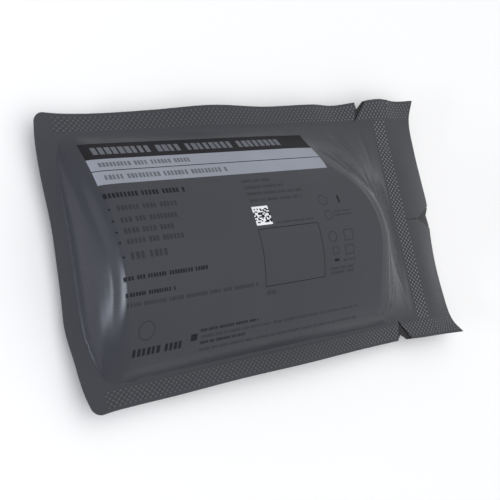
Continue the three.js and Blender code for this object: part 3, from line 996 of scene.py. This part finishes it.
@dataclass(frozen=True)
class Spacing:
    """How close a face's points stand from place to place, in millimetres.

    Each pair is a step along the pouch and a step across it. The other sizes are places along it.
    """

    knurled: Pair = (0.38, 0.3)
    knurled_end: Pair = (0.3, 0.38)
    long_edge: Pair = (0.8, 0.6)
    flap: Pair = (1.2, 1.0)
    folded: Pair = (0.45, 0.5)
    smooth: Pair = (0.9, 0.9)
    crown: Pair = (1.4, 1.2)
    wall_top: Pair = (0.7, 0.8)
    between_notches: Pair = (1.2, 1.2)
    hidden_crown: Pair = (1.7, 1.2)
    hidden_wall: Pair = (0.5, 0.8)
    hidden_wall_top: Pair = (0.8, 1.0)
    hidden_fall: Pair = (0.7, 0.8)
    hidden_flap: Pair = (1.0, 1.0)
    wall_end: float = -82.0
    wall_top_end: float = -78.0
    hidden_wall_top_end: float = -76.0
    slope_start: float = 14.0
    fall_start: float = 28.0
    notches_start: float = 40.0

    def _hidden(self, shape: PouchShape) -> tuple[Patch, ...]:
        """Patches for a face that doesn't show.

        Args:
            shape: The pouch's form.

        Returns:
            Patches that cover the flat pouch between them.
        """
        across = (-shape.half_width, shape.half_width)
        return (
            Patch((-shape.half_length, self.wall_end), across, *self.hidden_wall),
            Patch((self.wall_end, self.hidden_wall_top_end), across, *self.hidden_wall_top),
            Patch((self.hidden_wall_top_end, self.fall_start), across, *self.hidden_crown),
            Patch((self.fall_start, shape.crown_end), across, *self.hidden_fall),
            Patch((shape.crown_end, shape.half_length), across, *self.hidden_flap),
        )

    def _notched(self, shape: PouchShape) -> tuple[Patch, ...]:
        """Patches for a face that shows in the notches alone.

        Args:
            shape: The pouch's form.

        Returns:
            Patches that cover the flat pouch between them.
        """
        seen = (self.notches_start, shape.half_length)
        inner = shape.knurl.long_band[0] - shape.knurl.edge
        return (
            Patch((-shape.half_length, seen[0]), (-shape.half_width, shape.half_width), *self.hidden_crown),
            Patch(seen, (inner, shape.half_width), *self.knurled),
            Patch(seen, (-shape.half_width, -inner), *self.knurled),
            Patch(seen, (-inner, inner), *self.between_notches),
        )

    def patches(self, shape: PouchShape, detail: Detail) -> tuple[Patch, ...]:
        """How close the points stand in each part of a face.

        Args:
            shape: The pouch's form.
            detail: What the face has to resolve.

        Returns:
            Patches that cover the flat pouch between them.
        """
        if detail is Detail.HIDDEN:
            return self._hidden(shape)
        if detail is Detail.NOTCHES:
            return self._notched(shape)
        knurl = shape.knurl
        wide = (-shape.half_length, shape.half_length)
        inner, outer = knurl.long_band[0] - knurl.edge, knurl.long_band[1] + knurl.edge
        middle = (-inner, inner)
        ends = knurl.end_band[0] - knurl.edge, knurl.end_band[1] + knurl.edge
        folded = self.folded if detail is Detail.FOLDED else self.smooth
        return (
            Patch(wide, (inner, outer), *self.knurled),
            Patch(wide, (-outer, -inner), *self.knurled),
            Patch(wide, (outer, shape.half_width), *self.long_edge),
            Patch(wide, (-shape.half_width, -outer), *self.long_edge),
            Patch(ends, middle, *self.knurled_end),
            Patch((ends[1], shape.half_length), middle, *self.flap),
            Patch((self.fall_start, ends[0]), middle, *folded),
            Patch((self.slope_start, self.fall_start), middle, *self.smooth),
            Patch((self.wall_top_end, self.slope_start), middle, *self.crown),
            Patch((self.wall_end, self.wall_top_end), middle, *self.wall_top),
            Patch((-shape.half_length, self.wall_end), middle, *folded),
        )


@dataclass(frozen=True)
class Film:
    """One film of the pouch: a thin closed sheet between its upper and its lower face."""

    name: str
    shape: PouchShape
    notches: Notches
    upper: Surface
    lower: Surface
    upper_detail: Detail
    lower_detail: Detail
    print_on: Print | None = None
    bare_tones: tuple[Tone, Tone] = (Tone.FILM, Tone.SHADED_INSIDE)
    spacing: Spacing = Spacing()
    edge_step: float = 0.35
    mark_step: float = 0.8
    margin: float = 0.14
    merge_gap: float = 1e-5
    outline_slip: float = 1e-4

    def _layer(self, surface: Surface, detail: Detail, bare: Tone, marks: list[Mark]) -> Layer:
        """Joins a face's points into triangles that keep the cut outline and the print's edges.

        Args:
            surface: The face.
            detail: What the face has to resolve.
            bare: The tone of what has no print.
            marks: The print.

        Returns:
            The layer, whose first points are the outline.
        """
        outline = self.notches.outline(self.shape, self.edge_step)
        loose = np.concatenate([patch.points() for patch in self.spacing.patches(self.shape, detail)])
        loose = loose[self.notches.clear(self.shape, loose[:, 0], loose[:, 1], self.margin)]
        rings = [outline, *(divided(mark.outline, self.mark_step) for mark in marks)]
        starts = np.cumsum([0, *(len(ring) for ring in rings)])
        faces = [list(range(start, end)) for start, end in zip(starts[:-1], starts[1:])]
        spots = list(map(Vector, np.concatenate([*rings, loose]).tolist()))
        points, _, triangles, _, _, origins = delaunay_2d_cdt(
            spots, [], faces, TRIANGLES_INSIDE, self.merge_gap, True
        )
        flat = np.array([tuple(point) for point in points])
        if np.abs(flat[: len(outline)] - outline).max() > self.outline_slip:
            raise ValueError(f"{self.name}: the outline's points came back in another order")
        tones = [bare if mark.tone is Tone.FILM else mark.tone for mark in marks]
        values = np.array([tone.value for tone in (bare, *tones)])
        covering = np.array([max(origin, default=-1) for origin in origins])
        inside = covering >= 0
        return Layer(flat, np.array(triangles, int)[inside], values[covering[inside]], surface)

    def _rim(self, points: Array, count: int, below: int) -> tuple[Array, Array]:
        """The strip of quads that joins the two faces round the outline.

        Args:
            points: The film's points, the upper face's before the lower one's.
            count: The number of points in the outline, which each face starts with.
            below: The number of the lower face's first point.

        Returns:
            The quads, and the unit normal of each, the cross product of two of its sides.
        """
        i = np.arange(count)
        j = (i + 1) % count
        quads = np.stack([below + i, below + j, j, i], axis=1)
        first, second, _, last = points[quads].transpose(1, 0, 2)
        normals = np.cross(second - first, last - first)
        return quads, normals / np.linalg.norm(normals, axis=1, keepdims=True)

    def _dress(self, obj: bpy.types.Object, tones: Array, used: list[Tone], made: Finishes) -> None:
        """Gives the film its materials and each face its tone.

        Args:
            obj: The film.
            tones: The value of each face's tone.
            used: The tones that the film takes, in the order of its materials.
            made: The material of each tone.
        """
        for tone in used:
            obj.data.materials.append(made[tone])
        index = {tone.value: used.index(tone) for tone in used}
        obj.data.polygons.foreach_set("material_index", np.vectorize(index.get)(tones).astype(np.int32))

    def build(self, place: Placement, made: Finishes) -> bpy.types.Object:
        """Makes the film's mesh.

        The upper face's triangles look up, the lower face's look down, and a strip of quads joins
        the two round the outline. Every corner's normal is that of its own face's surface.

        Args:
            place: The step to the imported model's frame.
            made: The material of each tone.

        Returns:
            The film, with its materials.
        """
        marks = self.print_on.marks() if self.print_on else []
        up = self._layer(self.upper, self.upper_detail, self.bare_tones[0], marks)
        down = self._layer(self.lower, self.lower_detail, self.bare_tones[1], [])
        turned = down.triangles[:, ::-1]
        points = np.concatenate([up.points(), down.points()])
        below = len(up.flat)
        rim = len(self.notches.outline(self.shape, self.edge_step))
        quads, sides = self._rim(points, rim, below)
        normals = [
            up.normals()[up.triangles.ravel()],
            -down.normals()[turned.ravel()],
            np.repeat(sides, quads.shape[1], axis=0),
        ]
        faces = [up.triangles, turned + below, quads]
        obj = add_mesh(self.name, place.metres(points), faces, np.concatenate(normals))
        tones = np.concatenate([up.tones, down.tones, np.full(rim, self.bare_tones[0].value)])
        used = list(dict.fromkeys([*self.bare_tones, *(mark.tone for mark in marks)]))
        self._dress(obj, tones, used, made)
        x, y = np.concatenate([up.flat, down.flat]).T
        # The dots' attribute carries the seals' painted glints on the tips and the painted shade between
        # the dots.
        dot_glint_shade = obj.data.attributes.new(DOT_GLINT_ATTRIBUTE, "FLOAT", "POINT")
        dot_glint_shade.data.foreach_set("value", self.shape.knurl.dot_glint_shade(x, y).astype(np.float32))
        return obj


def add_mesh(name: str, points: Array, faces: list[Array],
             corner_normals: Array | None = None) -> bpy.types.Object:
    """Puts arrays into a new mesh object that rides on the model's one body.

    Args:
        name: The piece's name.
        points: Its points, in metres.
        faces: Arrays of point indices, one face a row, of three or four columns each.
        corner_normals: A normal for each face corner, in the faces' order.

    Returns:
        The object.
    """
    mesh = bpy.data.meshes.new(name)
    sizes = np.concatenate([np.full(len(f), f.shape[1]) for f in faces])
    corners = np.concatenate([f.ravel() for f in faces]).astype(np.int32)
    starts = np.concatenate([[0], np.cumsum(sizes)[:-1]]).astype(np.int32)
    mesh.vertices.add(len(points))
    mesh.vertices.foreach_set("co", points.astype(np.float32).ravel())
    mesh.loops.add(len(corners))
    mesh.loops.foreach_set("vertex_index", corners)
    mesh.polygons.add(len(sizes))
    mesh.polygons.foreach_set("loop_start", starts)
    mesh.update(calc_edges=True)
    mesh.shade_smooth()
    if corner_normals is not None:
        mesh.normals_split_custom_set(corner_normals.astype(np.float32))
    mesh.validate()
    obj = bpy.data.objects.new(name, mesh)
    bpy.context.scene.collection.objects.link(obj)
    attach(obj, "root")
    return obj


class Nodes:
    """A short hand for building a material's node tree."""

    def __init__(self, name: str) -> None:
        """Starts a material with one Principled shader.

        Args:
            name: The material's name.
        """
        self.material = bpy.data.materials.new(name)
        self.material.use_nodes = True
        self.tree = self.material.node_tree
        self.shader = self.tree.nodes["Principled BSDF"]
        self.place = self.add("ShaderNodeTexCoord").outputs["Object"]

    def add(self, kind: str, **settings: object) -> bpy.types.Node:
        """Adds a node.

        Args:
            kind: The node's type.
            settings: Its own properties.

        Returns:
            The node.
        """
        node = self.tree.nodes.new(kind)
        for key, value in settings.items():
            setattr(node, key, value)
        return node

    def join(self, source: Socket, target: Socket) -> None:
        """Links two sockets."""
        self.tree.links.new(source, target)

    def noise(self, scale: float, detail: float = 2.0, rough: float = 0.5) -> Socket:
        """Adds a noise.

        Args:
            scale: Its features a metre.
            detail: Its octaves of finer noise.
            rough: How strong each octave is beside the one before it.

        Returns:
            The noise, mostly between 0.3 and 0.7.
        """
        node = self.add("ShaderNodeTexNoise")
        self.join(self.place, node.inputs["Vector"])
        node.inputs["Scale"].default_value = scale
        node.inputs["Detail"].default_value = detail
        node.inputs["Roughness"].default_value = rough
        return node.outputs["Fac"]

    def ranged(self, value: Socket, start: float, end: float, low: float, high: float) -> Socket:
        """Maps a value evenly from one span to another, and holds it there.

        Args:
            value: The value.
            start: The first span's start.
            end: The first span's end.
            low: What start becomes.
            high: What end becomes.

        Returns:
            The mapped value.
        """
        node = self.add("ShaderNodeMapRange")
        self.join(value, node.inputs["Value"])
        for key, number in (("From Min", start), ("From Max", end), ("To Min", low), ("To Max", high)):
            node.inputs[key].default_value = number
        return node.outputs["Result"]

    def maths(self, operation: str, first: Socket, second: Socket | float) -> Socket:
        """Works out one sum of two values.

        Args:
            operation: The sum's name.
            first: The first value.
            second: The second value, or a number.

        Returns:
            The result.
        """
        node = self.add("ShaderNodeMath", operation=operation)
        self.join(first, node.inputs[0])
        if isinstance(second, float):
            node.inputs[1].default_value = second
        else:
            self.join(second, node.inputs[1])
        return node.outputs[0]

    def mixed(self, share: Socket, first: tuple[float, ...], second: tuple[float, ...]) -> Socket:
        """Mixes two colours.

        Args:
            share: 0 for the first colour, 1 for the second.
            first: The first colour, linear.
            second: The second colour, linear.

        Returns:
            The mixed colour.
        """
        node = self.add("ShaderNodeMix", data_type="RGBA")
        self.join(share, node.inputs["Factor"])
        node.inputs["A"].default_value = (*first, 1.0)
        node.inputs["B"].default_value = (*second, 1.0)
        return node.outputs["Result"]

    def bump(self, height: Socket, depth: float) -> None:
        """Gives the shader a relief.

        Args:
            height: The relief, from 0 to 1.
            depth: Its full height, in metres.
        """
        node = self.add("ShaderNodeBump")
        node.inputs["Distance"].default_value = depth
        self.join(height, node.inputs["Height"])
        self.join(node.outputs["Normal"], self.shader.inputs["Normal"])


def linear(red: float, green: float, blue: float) -> Triple:
    """Turns a colour as it shows on a screen into a linear one.

    Each share c of full light is c / 12.92 up to 0.04045, and ((c + 0.055) / 1.055) ** 2.4 above.

    Args:
        red: Red, 0 to 255.
        green: Green, 0 to 255.
        blue: Blue, 0 to 255.

    Returns:
        The linear colour, each part from 0 to 1.
    """
    shown = np.array([red, green, blue]) / 255
    low, high = shown / 12.92, ((shown + 0.055) / 1.055) ** 2.4
    return tuple(np.where(shown <= 0.04045, low, high).tolist())


@dataclass(frozen=True)
class FilmFinish:
    """Printed or bare film: a smooth laminate with a faint mottle and a fine grain.

    Each noise is its features a metre, its octaves and, where given, its roughness. The dots' attribute
    paints shade between the seals' dots, darkening the film to gap_shade_share of its colour at
    -gap_shade_depth. It also paints a glint on their tips, lifting them by tip_glint_lift from glint_start
    to glint_full.
    """

    name: str
    colour: Triple
    roughness: float = 0.4
    roughness_swing: float = 0.04
    roughness_noise: Pair = (75.0, 4.0)
    mottle: float = 0.06
    mottle_noise: Pair = (28.0, 3.0)
    tip_glint_lift: float = 0.0
    tip_gloss: float = 0.0
    gap_shade_depth: float = 0.3
    gap_shade_share: float = 0.5
    glint_start: float = 0.12
    glint_full: float = 0.5
    grain: float = 0.0000025
    grain_noise: Triple = (900.0, 3.0, 0.6)
    shine: float = 0.3

    def _painted_dot_glints(self, n: Nodes, colour: Socket, rough: Socket) -> tuple[Socket, Socket]:
        """Paints a glint on the tips of the seals' dots, which it also makes glossier, and paints shade on
        the film between them.

        Args:
            n: The material's nodes.
            colour: The film's colour.
            rough: The film's roughness.

        Returns:
            The colour and the roughness, with the dots.
        """
        dot_glint_shade = n.add("ShaderNodeAttribute", attribute_name=DOT_GLINT_ATTRIBUTE).outputs["Fac"]
        # Painted shade between the dots, and a painted glint on their tips.
        gap_shade = n.ranged(dot_glint_shade, -self.gap_shade_depth, 0.0, self.gap_shade_share, 1.0)
        tip_glint = n.ranged(dot_glint_shade, self.glint_start, self.glint_full, 0.0, 1.0)
        dark = n.add("ShaderNodeVectorMath", operation="SCALE")
        n.join(colour, dark.inputs[0])
        n.join(gap_shade, dark.inputs["Scale"])
        lift = n.add("ShaderNodeMix", data_type="RGBA")
        n.join(tip_glint, lift.inputs["Factor"])
        n.join(dark.outputs[0], lift.inputs["A"])
        lift.inputs["B"].default_value = (*(np.array(linear(*self.colour)) + self.tip_glint_lift), 1.0)
        return lift.outputs["Result"], n.maths("SUBTRACT", rough, n.maths("MULTIPLY", tip_glint, self.tip_gloss))

    def material(self) -> bpy.types.Material:
        """Builds the material.

        A slow noise varies the colour and another the roughness. The seals' dots get painted glints on
        their glossier tips and painted shade between them. A fine noise is the grain.

        Returns:
            The material.
        """
        n = Nodes(self.name)
        base = np.array(linear(*self.colour))
        slow = n.ranged(n.noise(*self.mottle_noise), *NOISE_SPAN, 0.0, 1.0)
        colour = n.mixed(slow, tuple(base * (1 - self.mottle)), tuple(base * (1 + self.mottle)))
        low, high = self.roughness - self.roughness_swing, self.roughness + self.roughness_swing
        rough = n.ranged(n.noise(*self.roughness_noise), *NOISE_SPAN, low, high)
        if self.tip_glint_lift > 0.0:
            colour, rough = self._painted_dot_glints(n, colour, rough)
        n.join(colour, n.shader.inputs["Base Color"])
        n.join(rough, n.shader.inputs["Roughness"])
        n.shader.inputs["Specular IOR Level"].default_value = self.shine
        n.bump(n.noise(*self.grain_noise), self.grain)
        return n.material


@dataclass(frozen=True)
class GauzeFinish:
    """Undyed elastic bandage: two crossing sets of threads, with a cloudy tint."""

    name: str = "bandage_weave"
    light: Triple = (214, 207, 186)
    dark: Triple = (176, 168, 146)
    thread_pitch: float = 0.0009
    relief: float = 0.00025
    side_share: float = 0.6
    # How much darker the weave is where the threads lie low: painted shade in its hollows.
    painted_hollow_shade: float = 0.6
    fuzz: float = 0.5
    fuzz_noise: Pair = (1400.0, 3.0)
    roughness: Pair = (0.86, 0.96)
    roughness_noise: float = 60.0
    sheen: float = 0.25

    def material(self) -> bpy.types.Material:
        """Builds the material.

        The threads are the product of two sine waves along X and Y, so that they pass over and
        under each other. A share of a third wave, along Z, carries them down the sides.

        Returns:
            The material.
        """
        n = Nodes(self.name)
        split = n.add("ShaderNodeSeparateXYZ")
        n.join(n.place, split.inputs[0])
        turn = 2 * math.pi / self.thread_pitch
        waves = [
            n.maths("SINE", n.maths("MULTIPLY", split.outputs[axis], turn), 0.0) for axis in ("X", "Y", "Z")
        ]
        over = n.maths("MULTIPLY", waves[0], waves[1])
        over = n.maths("ADD", over, n.maths("MULTIPLY", waves[2], self.side_share))
        most = 1.0 + self.side_share
        height = n.ranged(over, -most, most, 0.0, 1.0)
        fuzz = n.maths("MULTIPLY", n.noise(*self.fuzz_noise), self.fuzz)
        # Painted shade in the weave's hollows, darker where the threads lie low, with a random fuzz of tone
        # over it.
        shade = n.maths("ADD", n.maths("MULTIPLY", height, self.painted_hollow_shade), fuzz)
        rough = n.ranged(n.noise(self.roughness_noise), *NOISE_SPAN, *self.roughness)
        n.join(n.mixed(shade, linear(*self.dark), linear(*self.light)), n.shader.inputs["Base Color"])
        n.join(rough, n.shader.inputs["Roughness"])
        n.shader.inputs["Sheen Weight"].default_value = self.sheen
        n.bump(n.maths("ADD", height, fuzz), self.relief)
        return n.material


@dataclass(frozen=True)
class FoldedBandage:
    """The bandage in the pouch: a flat pad of folded layers that fills it, short of the seals."""

    shape: PouchShape
    inset: float = 4.2
    gap: float = 1.1
    reach: float = 0.6
    turns: int = 220
    rings: int = 46
    first_ring: float = 0.02
    side_rows: int = 16
    squareness: float = 0.34
    side_bulge: float = 0.5
    layers: float = 4.0
    groove: float = 0.22
    fill: float = 0.9

    def _round(self) -> Array:
        """The pad's outline about its middle, a rounded rectangle.

        Returns:
            A row for each turn: its cosine and sine, each with its size to the power squareness.
        """
        turn = np.arange(self.turns) * 2 * math.pi / self.turns
        circle = np.stack([np.cos(turn), np.sin(turn)], axis=1)
        return np.sign(circle) * np.abs(circle) ** self.squareness

    def _face(self, surface: Surface, way: float) -> Array:
        """Rings from the middle outwards on one film's inner side, the gap in from it.

        Args:
            surface: The film's face.
            way: 1 where the pad lies under the face, and -1 where it lies over it.

        Returns:
            Points by ring, turn and axis. Ring sizes are sin(π t / 2), with t in even steps to 1.
        """
        s = self.shape
        ring = np.sin(np.linspace(self.first_ring, 1.0, self.rings) * math.pi / 2)[:, None]
        round_x, round_y = self._round().T
        y = (ring * round_y) * (s.crown_half_width - self.inset)
        start = s.closed_foot(y) + self.inset
        shoulder = s.shoulder(y)
        end = shoulder + self.reach * (s.crown_end - shoulder)
        x = (start + end) / 2 + (ring * round_x) * (end - start) / 2
        flat_x, flat_y = x.ravel(), y.ravel()
        points = surface(flat_x, flat_y) - way * self.gap * normals_of(surface, flat_x, flat_y)
        return points.reshape(self.rings, self.turns, 3)

    def _side(self, top: Array, bottom: Array) -> Array:
        """The layered side between the two faces' rims.

        It stands out by side_bulge sin(π t) - groove sin²(π t layers), with t the share of the
        way down.

        Args:
            top: The upper face's last ring.
            bottom: The lower face's last ring.

        Returns:
            Points by row, turn and axis.
        """
        share = np.linspace(0.0, 1.0, self.side_rows + 2)[1:-1, None, None]
        away = np.pad(self._round(), ((0, 0), (0, 1)))
        away /= np.linalg.norm(away, axis=1, keepdims=True)
        grooves = self.groove * np.sin(math.pi * share * self.layers) ** 2
        bulge = self.side_bulge * np.sin(math.pi * share) - grooves
        return top * (1 - share) + bottom * share + bulge * away

    def _faces(self, rows: int) -> list[Array]:
        """Joins the rings.

        Args:
            rows: The number of rings from one middle to the other.

        Returns:
            The quads between the rings, and the triangles to the two middle points, which are last.
        """
        i = np.arange(self.turns)
        j = (i + 1) % self.turns
        row = np.arange(rows - 1)[:, None] * self.turns
        below = row + self.turns
        quads = np.stack([row + i, below + i, below + j, row + j], axis=2).reshape(-1, 4)
        end = rows * self.turns
        caps = np.concatenate([
            np.stack([np.full_like(i, end), i, j], axis=1),
            np.stack([np.full_like(i, end + 1), end - self.turns + j, end - self.turns + i], axis=1),
        ])
        return [quads, caps]

    def build(self, place: Placement, finish: bpy.types.Material) -> bpy.types.Object:
        """Makes the pad's mesh.

        A ring of points goes round the pad's outline, and is carried from the middle of the upper
        face out to the rim, down its layered side and in to the middle of the lower face. A gap is
        kept to both films.

        Args:
            place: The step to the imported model's frame.
            finish: The weave.

        Returns:
            The pad.
        """
        top = self._face(self.shape.front_plain, 1.0)
        bottom = self._face(self.shape.back_plain, -1.0)
        grid = np.concatenate([top, self._side(top[-1], bottom[-1]), bottom[::-1]])
        middles = np.stack([top[0].mean(axis=0), bottom[0].mean(axis=0)])
        points = np.concatenate([grid.reshape(-1, 3), middles])
        obj = add_mesh("folded_bandage_pad", place.metres(points), self._faces(len(grid)))
        obj.data.materials.append(finish)
        return obj


@dataclass(frozen=True)
class SoftBox:
    """A flat, oblong lamp that looks at the pouch from a distance."""

    name: str
    way: Triple
    distance: float
    size: Pair
    power: float
    tint: Triple = (1.0, 1.0, 1.0)

    def build(self, target: Vector) -> None:
        """Hangs the lamp so that it faces the target.

        Args:
            target: The point that it faces.
        """
        lamp = bpy.data.lights.new(self.name, "AREA")
        lamp.shape = "RECTANGLE"
        lamp.size, lamp.size_y = self.size
        lamp.energy = self.power
        lamp.color = self.tint
        obj = bpy.data.objects.new(self.name, lamp)
        way = Vector(self.way).normalized()
        obj.location = target + way * self.distance
        obj.rotation_euler = (-way).to_track_quat("-Z", "Y").to_euler()
        bpy.context.scene.collection.objects.link(obj)


@dataclass(frozen=True)
class Studio:
    """A plain pale floor, soft light, and a camera at the photograph's angle."""

    camera_place: Triple = (-216.236, -40.939, 286.639)
    camera_right: Triple = (0.81451, -0.20683, 0.54202)
    camera_up: Triple = (0.11300, 0.97296, 0.20145)
    camera_ahead: Triple = (0.56903, 0.10283, -0.81586)
    lens: float = 61.2
    floor_size: float = 5.0
    floor_colour: Triple = (0.95, 0.95, 0.945)
    floor_mottle: float = 0.995
    floor_noise: float = 6.0
    floor_roughness: float = 0.9
    floor_shine: float = 0.1
    horizon: Triple = (0.25, 0.265, 0.3)
    zenith: Triple = (1.24, 1.24, 1.25)
    sky_way: Triple = (0.4, 0.0, 0.917)
    sky_range: Pair = (-0.3, 0.9)
    lamp_target: Triple = (0.0, 0.0, 0.015)
    lamps: tuple[SoftBox, ...] = (
        SoftBox("left_lamp", way=(-1.0, -0.1, 0.2), distance=0.9, size=(0.34, 0.04), power=2.9,
                tint=(0.82, 0.88, 1.0)),
    )

    def _sky(self) -> bpy.types.World:
        """Soft light from all round.

        It grows evenly along the direction sky_way, from the horizon's colour at the start of
        sky_range to the zenith's at its end.

        Returns:
            The world.
        """
        world = bpy.data.worlds.new("studio_sky")
        world.use_nodes = True
        nodes, links = world.node_tree.nodes, world.node_tree.links
        along = nodes.new("ShaderNodeVectorMath")
        along.operation = "DOT_PRODUCT"
        along.inputs[1].default_value = self.sky_way
        links.new(nodes.new("ShaderNodeTexCoord").outputs["Generated"], along.inputs[0])
        height = nodes.new("ShaderNodeMapRange")
        height.inputs["From Min"].default_value = self.sky_range[0]
        height.inputs["From Max"].default_value = self.sky_range[1]
        links.new(along.outputs["Value"], height.inputs["Value"])
        mix = nodes.new("ShaderNodeMix")
        mix.data_type = "RGBA"
        links.new(height.outputs["Result"], mix.inputs["Factor"])
        mix.inputs["A"].default_value = (*self.horizon, 1.0)
        mix.inputs["B"].default_value = (*self.zenith, 1.0)
        links.new(mix.outputs["Result"], nodes["Background"].inputs["Color"])
        return world

    def _floor(self) -> None:
        """Lays the floor, a square of pale paper."""
        half = self.floor_size / 2
        mesh = bpy.data.meshes.new("studio_floor")
        corners = [(-half, -half, 0), (half, -half, 0), (half, half, 0), (-half, half, 0)]
        mesh.from_pydata(corners, [], [(0, 1, 2, 3)])
        floor = bpy.data.objects.new("studio_floor", mesh)
        bpy.context.scene.collection.objects.link(floor)
        n = Nodes("floor_paper")
        pale = np.array(self.floor_colour)
        shade = n.mixed(n.noise(self.floor_noise), tuple(pale * self.floor_mottle), tuple(pale))
        n.join(shade, n.shader.inputs["Base Color"])
        n.shader.inputs["Roughness"].default_value = self.floor_roughness
        n.shader.inputs["Specular IOR Level"].default_value = self.floor_shine
        mesh.materials.append(n.material)

    def _camera(self, place: Placement) -> bpy.types.Object:
        """Sets the camera up where the photograph was seen from.

        Args:
            place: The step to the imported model's frame.

        Returns:
            The camera.
        """
        data = bpy.data.cameras.new("camera")
        data.lens = self.lens
        camera = bpy.data.objects.new("camera", data)
        turn = Matrix((self.camera_right, self.camera_up, [-v for v in self.camera_ahead])).transposed()
        where = place.metres(np.array([self.camera_place]))[0]
        camera.matrix_world = Matrix.Translation(Vector(where)) @ turn.to_4x4()
        return camera

    def build(self, place: Placement) -> None:
        """Makes the floor, the lamps, the world and the camera.

        Args:
            place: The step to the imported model's frame.
        """
        self._floor()
        for lamp in self.lamps:
            lamp.build(Vector(self.lamp_target))
        scene = bpy.context.scene
        scene.world = self._sky()
        scene.view_settings.view_transform = "Standard"
        scene.camera = self._camera(place)
        scene.collection.objects.link(scene.camera)


def tone_finishes() -> Finishes:
    """Builds the material of every tone.

    Returns:
        A material for each tone.
    """
    made = {
        # The film's tip lift is a painted glint on the seals' dots.
        Tone.FILM: FilmFinish("pouch_film", (57, 58, 63), 0.27, shine=0.25, tip_glint_lift=0.18, tip_gloss=0.1),
        # Near-black inner faces are painted shade in the notches, with faint painted glints on the dots
        # there.
        Tone.SHADED_INSIDE: FilmFinish("film_inside_painted_shade", (20, 20, 23), 0.4, tip_glint_lift=0.03, tip_gloss=0.2),
        Tone.BLACK: FilmFinish("black_print", (31, 29, 33), 0.5, shine=0.1),
        Tone.MUTED: FilmFinish("muted_print", (96, 98, 105), 0.5, shine=0.2),
        Tone.LIGHT: FilmFinish("pale_print", (140, 144, 154), 0.5, shine=0.2),
        Tone.STRONG: FilmFinish("strong_print", (30, 30, 34), 0.5, shine=0.1),
        Tone.FAINT: FilmFinish("faint_print", (44, 45, 50), 0.5, shine=0.2),
        Tone.WHITE: FilmFinish("white_print", (232, 233, 236), 0.55, shine=0.2),
    }
    return {tone: finish.material() for tone, finish in made.items()}


def report(obj: bpy.types.Object) -> None:
    """Logs a piece's name, size and triangles.

    Args:
        obj: The piece.
    """
    mesh = obj.data
    mesh.calc_loop_triangles()
    size = " x ".join(f"{v * MM:.1f}" for v in obj.dimensions)
    LOG.info("%s: %s mm, %d triangles", obj.name, size, len(mesh.loop_triangles))


def main() -> None:
    """Builds the studio and the pouch's pieces, and reports each."""
    logging.basicConfig(level=logging.INFO, format="%(name)s: %(message)s")
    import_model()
    shape = PouchShape()
    place = Placement.from_frame(shape)
    LOG.info("placed by %s mm", tuple(round(v, 3) for v in place.shift))
    Studio().build(place)
    made = tone_finishes()
    front = Film(
        "front_film_sheet", shape, FRONT_NOTCHES, shape.front_outer, shape.front_inner,
        Detail.FOLDED, Detail.HIDDEN, print_on=Print(),
    ).build(place, made)
    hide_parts("front_film")
    back = Film(
        "back_film_sheet", shape, BACK_NOTCHES, shape.back_inner, shape.back_outer,
        Detail.NOTCHES, Detail.DOTTED, bare_tones=(Tone.SHADED_INSIDE, Tone.FILM),
    ).build(place, made)
    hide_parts("back_film")
    pad = FoldedBandage(shape).build(place, GauzeFinish().material())
    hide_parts("folded_bandage")
    for piece in (front, back, pad):
        report(piece)


if __name__ == "__main__":
    main()
